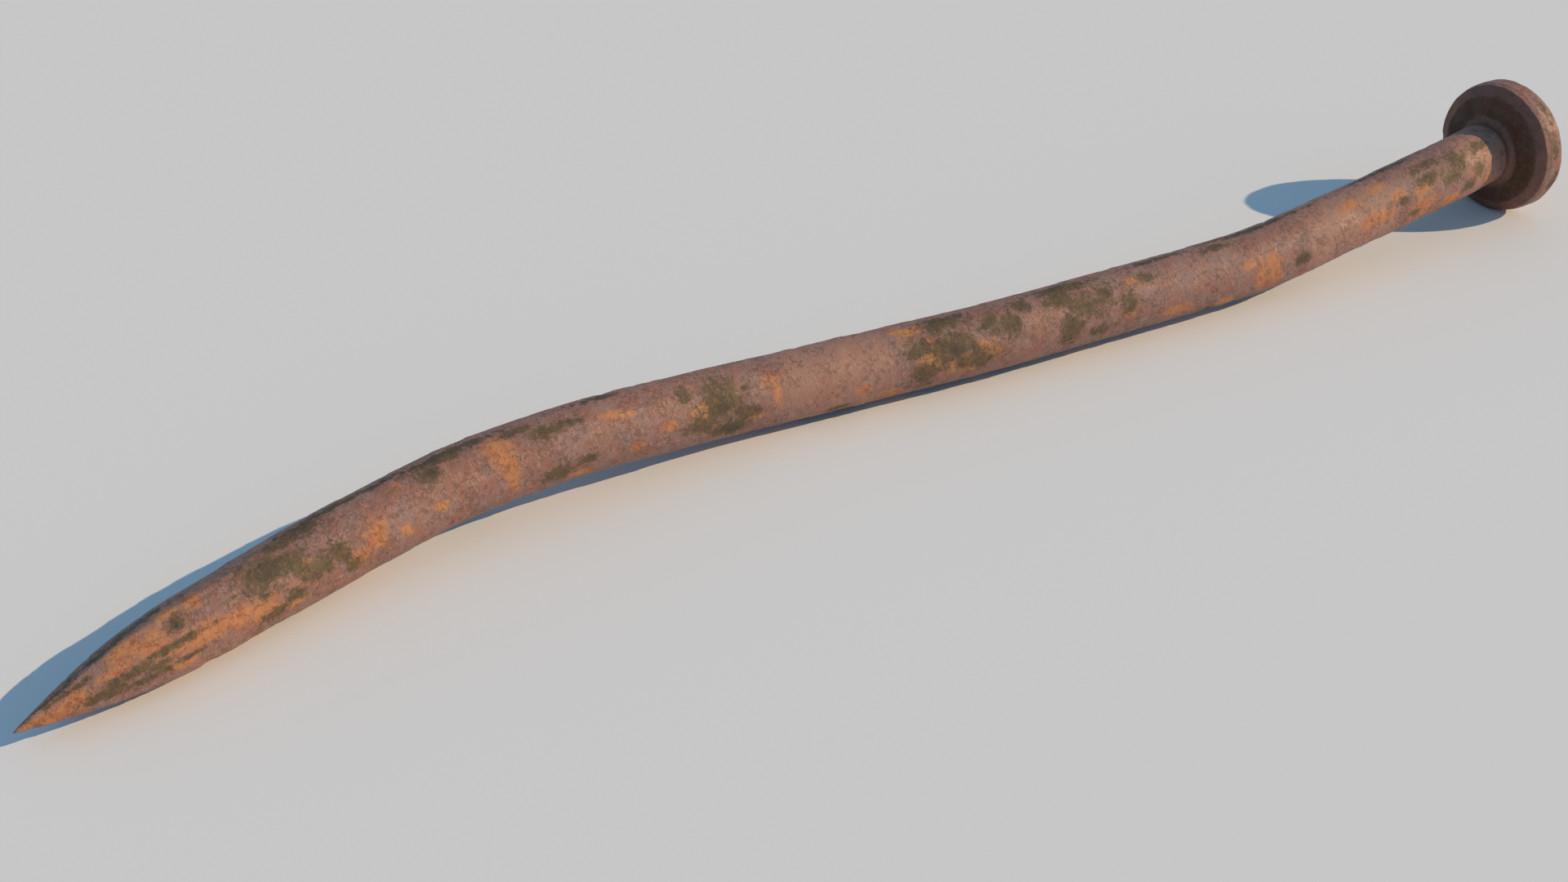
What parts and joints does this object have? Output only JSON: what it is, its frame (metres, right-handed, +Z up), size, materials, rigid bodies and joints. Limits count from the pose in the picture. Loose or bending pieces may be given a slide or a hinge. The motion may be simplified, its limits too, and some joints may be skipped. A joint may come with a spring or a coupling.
{
  "type": "bent round timber spike",
  "caption": "Long round steel spike with a disc head and a faceted point, bent out of true in a shallow S.",
  "frame": {"origin": "on the surface the spike lies on, under the middle of its bounding box", "axes": "+Z up; +X along the spike's length from the point to the head; +Y to the left of that"},
  "size_m": [0.2502, 0.0276, 0.0214],
  "materials": {
    "rusted_steel": "rough mottled rust, pinkish brown with orange and dark olive patches"
  },
  "bodies": {
    "root": {"spike": "rusted_steel"}
  },
  "joints": []
}
